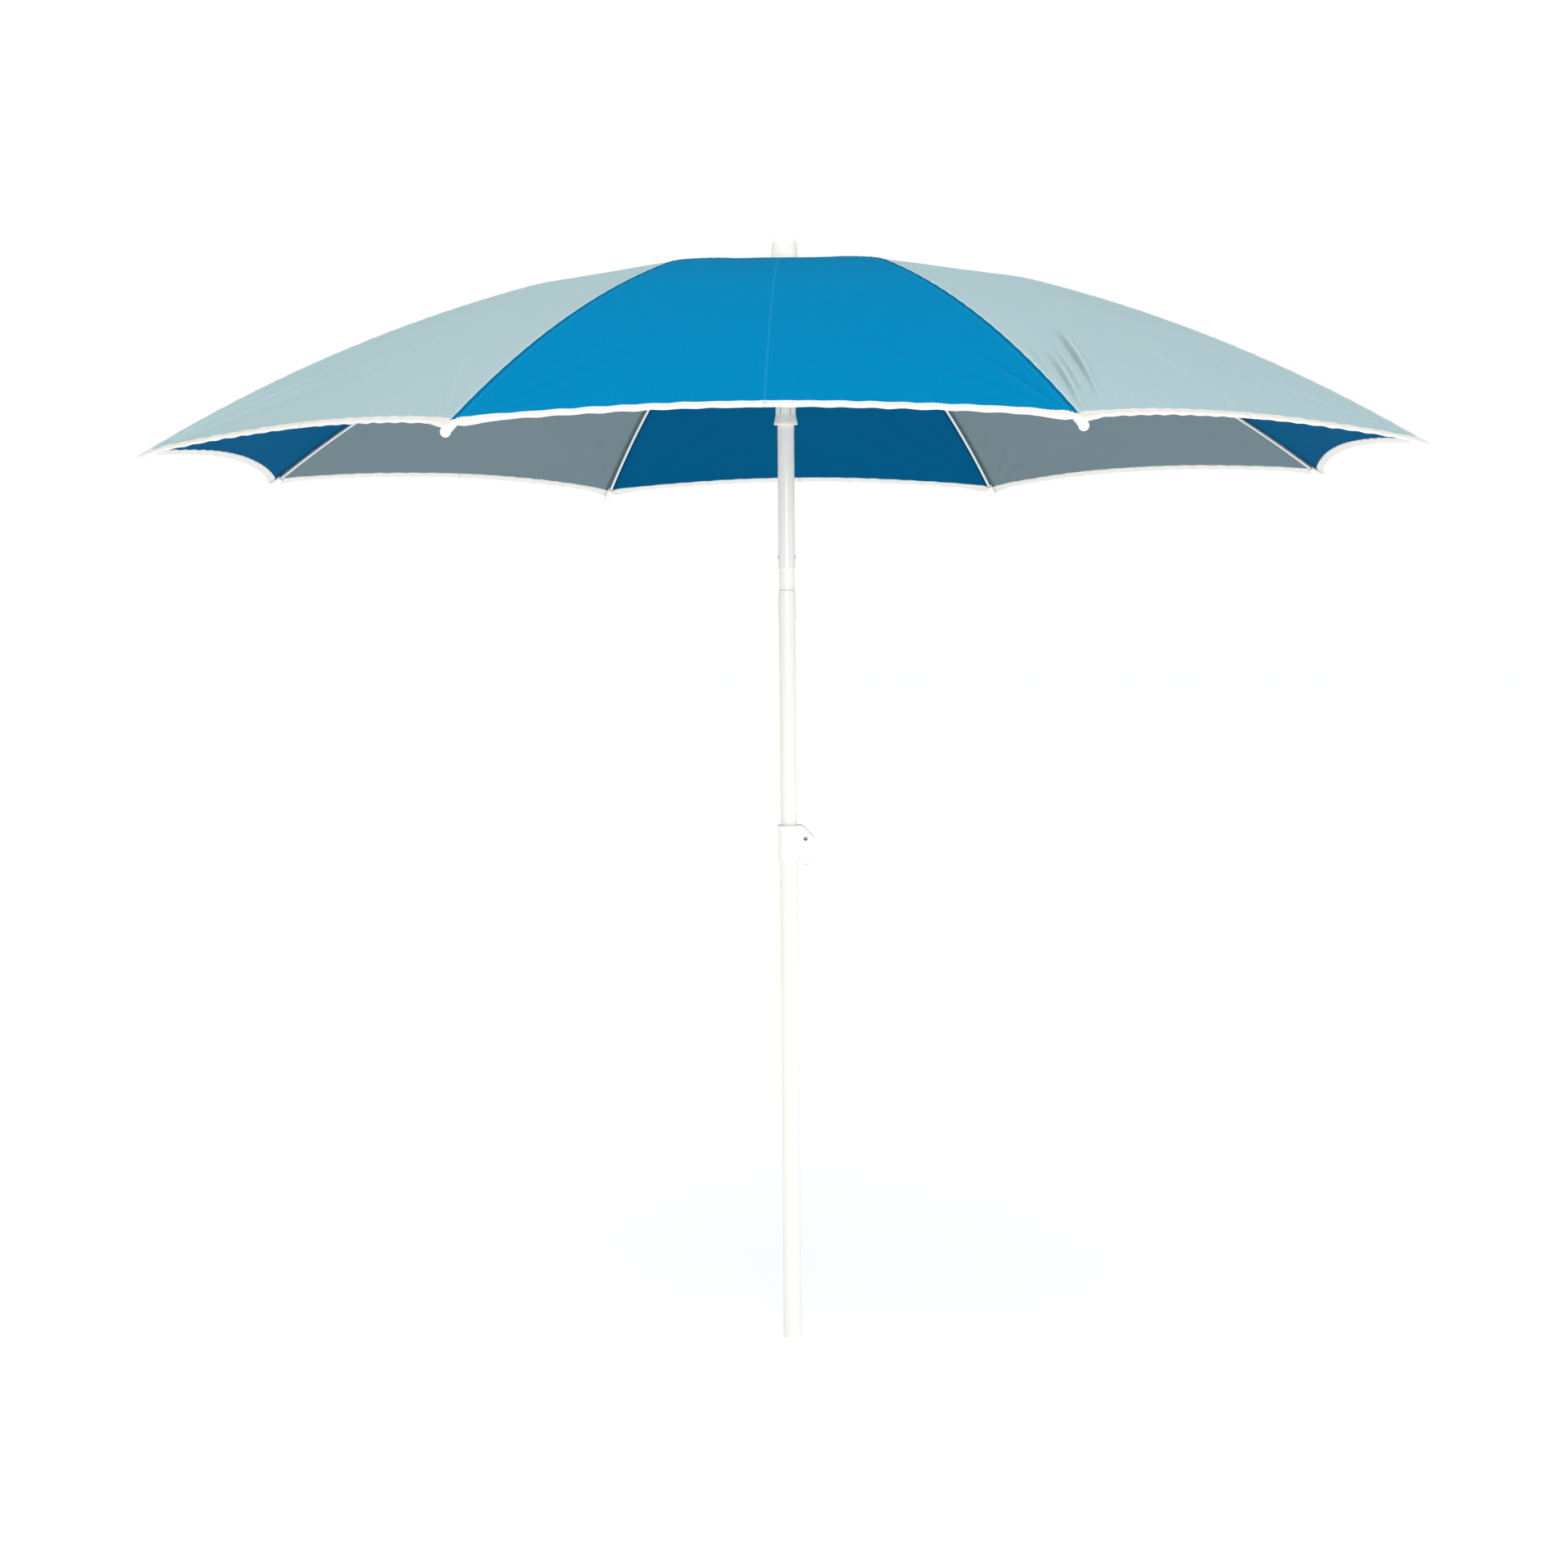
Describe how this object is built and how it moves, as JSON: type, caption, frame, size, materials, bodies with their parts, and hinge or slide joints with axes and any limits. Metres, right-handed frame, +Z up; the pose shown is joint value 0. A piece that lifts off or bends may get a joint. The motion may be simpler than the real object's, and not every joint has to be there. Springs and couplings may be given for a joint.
{
  "type": "beach umbrella",
  "caption": "Tilting beach umbrella with a two-part clamped pole, hinged steel ribs and a scalloped canopy of alternating fabric panels.",
  "frame": {"origin": "centre of the pole's bottom end", "axes": "+Z up the pole towards the finial, +X towards the clamp lever"},
  "size_m": [1.5502, 1.5502, 1.483],
  "materials": {
    "white_paint": "gloss",
    "white_plastic": "gloss",
    "steel": "satin",
    "rib_steel": "satin",
    "fabric_blue": "matte",
    "fabric_grey": "matte",
    "hem_white": "matte"
  },
  "bodies": {
    "pole": {"lower_pole": "white_paint", "foot_plug": "white_plastic", "clamp_collar": "white_plastic", "clamp_pin": "steel"},
    "lever": {"clamp_lever": "white_plastic"},
    "mast": {"mast_tube": "white_paint", "mast_bush": "white_plastic", "knuckle_lower": "white_plastic", "tilt_pin": "steel"},
    "head": {"knuckle_upper": "white_plastic", "tube_rivets": "steel", "canopy_tube": "white_paint", "crown_hub": "white_plastic", "crown_wire": "steel", "top_washer": "white_plastic", "finial": "white_plastic"},
    "sleeve": {"tilt_sleeve": "white_paint"},
    "catch": {"runner_catch": "steel"},
    "runner_body": {"runner": "white_plastic", "runner_wire": "steel"},
    "rib_1": {"rib_inner_1": "rib_steel"},
    "outer_1": {"rib_outer_1": "rib_steel", "rib_tip_1": "white_plastic", "canopy_1": "fabric_blue"},
    "prop_1": {"stretcher_1": "rib_steel"},
    "rib_2": {"rib_inner_2": "rib_steel"},
    "outer_2": {"rib_outer_2": "rib_steel", "rib_tip_2": "white_plastic", "canopy_2": "fabric_grey"},
    "prop_2": {"stretcher_2": "rib_steel"},
    "rib_3": {"rib_inner_3": "rib_steel"},
    "outer_3": {"rib_outer_3": "rib_steel", "rib_tip_3": "white_plastic", "canopy_3": "fabric_blue"},
    "prop_3": {"stretcher_3": "rib_steel"},
    "rib_4": {"rib_inner_4": "rib_steel"},
    "outer_4": {"rib_outer_4": "rib_steel", "rib_tip_4": "white_plastic", "canopy_4": "fabric_grey"},
    "prop_4": {"stretcher_4": "rib_steel"},
    "rib_5": {"rib_inner_5": "rib_steel"},
    "outer_5": {"rib_outer_5": "rib_steel", "rib_tip_5": "white_plastic", "canopy_5": "fabric_blue"},
    "prop_5": {"stretcher_5": "rib_steel"},
    "rib_6": {"rib_inner_6": "rib_steel"},
    "outer_6": {"rib_outer_6": "rib_steel", "rib_tip_6": "white_plastic", "canopy_6": "fabric_grey"},
    "prop_6": {"stretcher_6": "rib_steel"},
    "rib_7": {"rib_inner_7": "rib_steel"},
    "outer_7": {"rib_outer_7": "rib_steel", "rib_tip_7": "white_plastic", "canopy_7": "fabric_blue"},
    "prop_7": {"stretcher_7": "rib_steel"},
    "rib_8": {"rib_inner_8": "rib_steel"},
    "outer_8": {"rib_outer_8": "rib_steel", "rib_tip_8": "white_plastic", "canopy_8": "fabric_grey"},
    "prop_8": {"stretcher_8": "rib_steel"}
  },
  "joints": [
    {"name": "clamp_lever", "type": "hinge", "parent": "pole", "child": "lever", "pos_m": [0.0227, 0, 0.6828], "axis": [0, -1, 0], "range_deg": [0, 90]},
    {"name": "mast_height", "type": "slide", "parent": "pole", "child": "mast", "axis": [0, 0, 1], "range_m": [-0.24, 0.2]},
    {"name": "tilt", "type": "hinge", "parent": "mast", "child": "head", "pos_m": [0, 0, 0.9825], "axis": [0, 1, 0], "range_deg": [-40, 0]},
    {"name": "tilt_sleeve_lift", "type": "slide", "parent": "head", "child": "sleeve", "axis": [0, 0, 1], "range_m": [0, 0.0262]},
    {"name": "runner_catch", "type": "hinge", "parent": "head", "child": "catch", "pos_m": [0, 0.009, 1.1995], "axis": [1, 0, 0], "range_deg": [0, 12], "stiffness_Nm_per_rad": 0.05},
    {"name": "fold", "type": "hinge", "parent": "head", "child": "rib_1", "pos_m": [0.01663, 0.00689, 1.436], "axis": [-0.3827, 0.9239, 0], "range_deg": [0, 78.2], "deforming": ["canopy_1", "canopy_2", "canopy_3", "canopy_4", "canopy_5", "canopy_6", "canopy_7", "canopy_8", "runner_catch"]},
    {"name": "rib_1_flex", "type": "hinge", "parent": "rib_1", "child": "outer_1", "pos_m": [0.3007, 0.12455, 1.40104], "axis": [-0.3827, 0.9239, 0], "range_deg": [-16, 0]},
    {"name": "stretcher_1_swing", "type": "hinge", "parent": "rib_1", "child": "prop_1", "pos_m": [0.29121, 0.12062, 1.39513], "axis": [-0.3827, 0.9239, 0], "range_deg": [-156.4, 0]},
    {"name": "rib_2_fold", "type": "hinge", "parent": "head", "child": "rib_2", "pos_m": [0.00689, 0.01663, 1.436], "axis": [-0.9239, 0.3827, 0], "range_deg": [0, 78.2]},
    {"name": "rib_2_flex", "type": "hinge", "parent": "rib_2", "child": "outer_2", "pos_m": [0.12455, 0.3007, 1.40104], "axis": [-0.9239, 0.3827, 0], "range_deg": [-16, 0]},
    {"name": "stretcher_2_swing", "type": "hinge", "parent": "rib_2", "child": "prop_2", "pos_m": [0.12062, 0.29121, 1.39513], "axis": [-0.9239, 0.3827, 0], "range_deg": [-156.4, 0]},
    {"name": "rib_3_fold", "type": "hinge", "parent": "head", "child": "rib_3", "pos_m": [-0.00689, 0.01663, 1.436], "axis": [-0.9239, -0.3827, 0], "range_deg": [0, 78.2]},
    {"name": "rib_3_flex", "type": "hinge", "parent": "rib_3", "child": "outer_3", "pos_m": [-0.12455, 0.3007, 1.40104], "axis": [-0.9239, -0.3827, 0], "range_deg": [-16, 0]},
    {"name": "stretcher_3_swing", "type": "hinge", "parent": "rib_3", "child": "prop_3", "pos_m": [-0.12062, 0.29121, 1.39513], "axis": [-0.9239, -0.3827, 0], "range_deg": [-156.4, 0]},
    {"name": "rib_4_fold", "type": "hinge", "parent": "head", "child": "rib_4", "pos_m": [-0.01663, 0.00689, 1.436], "axis": [-0.3827, -0.9239, 0], "range_deg": [0, 78.2]},
    {"name": "rib_4_flex", "type": "hinge", "parent": "rib_4", "child": "outer_4", "pos_m": [-0.3007, 0.12455, 1.40104], "axis": [-0.3827, -0.9239, 0], "range_deg": [-16, 0]},
    {"name": "stretcher_4_swing", "type": "hinge", "parent": "rib_4", "child": "prop_4", "pos_m": [-0.29121, 0.12062, 1.39513], "axis": [-0.3827, -0.9239, 0], "range_deg": [-156.4, 0]},
    {"name": "rib_5_fold", "type": "hinge", "parent": "head", "child": "rib_5", "pos_m": [-0.01663, -0.00689, 1.436], "axis": [0.3827, -0.9239, 0], "range_deg": [0, 78.2]},
    {"name": "rib_5_flex", "type": "hinge", "parent": "rib_5", "child": "outer_5", "pos_m": [-0.3007, -0.12455, 1.40104], "axis": [0.3827, -0.9239, 0], "range_deg": [-16, 0]},
    {"name": "stretcher_5_swing", "type": "hinge", "parent": "rib_5", "child": "prop_5", "pos_m": [-0.29121, -0.12062, 1.39513], "axis": [0.3827, -0.9239, 0], "range_deg": [-156.4, 0]},
    {"name": "rib_6_fold", "type": "hinge", "parent": "head", "child": "rib_6", "pos_m": [-0.00689, -0.01663, 1.436], "axis": [0.9239, -0.3827, 0], "range_deg": [0, 78.2]},
    {"name": "rib_6_flex", "type": "hinge", "parent": "rib_6", "child": "outer_6", "pos_m": [-0.12455, -0.3007, 1.40104], "axis": [0.9239, -0.3827, 0], "range_deg": [-16, 0]},
    {"name": "stretcher_6_swing", "type": "hinge", "parent": "rib_6", "child": "prop_6", "pos_m": [-0.12062, -0.29121, 1.39513], "axis": [0.9239, -0.3827, 0], "range_deg": [-156.4, 0]},
    {"name": "rib_7_fold", "type": "hinge", "parent": "head", "child": "rib_7", "pos_m": [0.00689, -0.01663, 1.436], "axis": [0.9239, 0.3827, 0], "range_deg": [0, 78.2]},
    {"name": "rib_7_flex", "type": "hinge", "parent": "rib_7", "child": "outer_7", "pos_m": [0.12455, -0.3007, 1.40104], "axis": [0.9239, 0.3827, 0], "range_deg": [-16, 0]},
    {"name": "stretcher_7_swing", "type": "hinge", "parent": "rib_7", "child": "prop_7", "pos_m": [0.12062, -0.29121, 1.39513], "axis": [0.9239, 0.3827, 0], "range_deg": [-156.4, 0]},
    {"name": "rib_8_fold", "type": "hinge", "parent": "head", "child": "rib_8", "pos_m": [0.01663, -0.00689, 1.436], "axis": [0.3827, 0.9239, 0], "range_deg": [0, 78.2]},
    {"name": "rib_8_flex", "type": "hinge", "parent": "rib_8", "child": "outer_8", "pos_m": [0.3007, -0.12455, 1.40104], "axis": [0.3827, 0.9239, 0], "range_deg": [-16, 0]},
    {"name": "stretcher_8_swing", "type": "hinge", "parent": "rib_8", "child": "prop_8", "pos_m": [0.29121, -0.12062, 1.39513], "axis": [0.3827, 0.9239, 0], "range_deg": [-156.4, 0]},
    {"name": "runner_turn", "type": "hinge", "parent": "prop_1", "child": "runner_body", "pos_m": [0.01663, 0.00689, 1.35426], "axis": [-0.3827, 0.9239, 0], "range_deg": [0, 78.2]}
  ],
  "couplings": [
    {"joint": "tilt_sleeve_lift", "follows": "tilt", "m_per_rad": -0.037242},
    {"joint": "rib_1_flex", "follows": "fold", "ratio": -0.2},
    {"joint": "stretcher_1_swing", "follows": "fold", "ratio": -2},
    {"joint": "rib_2_fold", "follows": "fold", "ratio": 1},
    {"joint": "rib_2_flex", "follows": "fold", "ratio": -0.2},
    {"joint": "stretcher_2_swing", "follows": "fold", "ratio": -2},
    {"joint": "rib_3_fold", "follows": "fold", "ratio": 1},
    {"joint": "rib_3_flex", "follows": "fold", "ratio": -0.2},
    {"joint": "stretcher_3_swing", "follows": "fold", "ratio": -2},
    {"joint": "rib_4_fold", "follows": "fold", "ratio": 1},
    {"joint": "rib_4_flex", "follows": "fold", "ratio": -0.2},
    {"joint": "stretcher_4_swing", "follows": "fold", "ratio": -2},
    {"joint": "rib_5_fold", "follows": "fold", "ratio": 1},
    {"joint": "rib_5_flex", "follows": "fold", "ratio": -0.2},
    {"joint": "stretcher_5_swing", "follows": "fold", "ratio": -2},
    {"joint": "rib_6_fold", "follows": "fold", "ratio": 1},
    {"joint": "rib_6_flex", "follows": "fold", "ratio": -0.2},
    {"joint": "stretcher_6_swing", "follows": "fold", "ratio": -2},
    {"joint": "rib_7_fold", "follows": "fold", "ratio": 1},
    {"joint": "rib_7_flex", "follows": "fold", "ratio": -0.2},
    {"joint": "stretcher_7_swing", "follows": "fold", "ratio": -2},
    {"joint": "rib_8_fold", "follows": "fold", "ratio": 1},
    {"joint": "rib_8_flex", "follows": "fold", "ratio": -0.2},
    {"joint": "stretcher_8_swing", "follows": "fold", "ratio": -2},
    {"joint": "runner_turn", "follows": "fold", "ratio": 1}
  ]
}
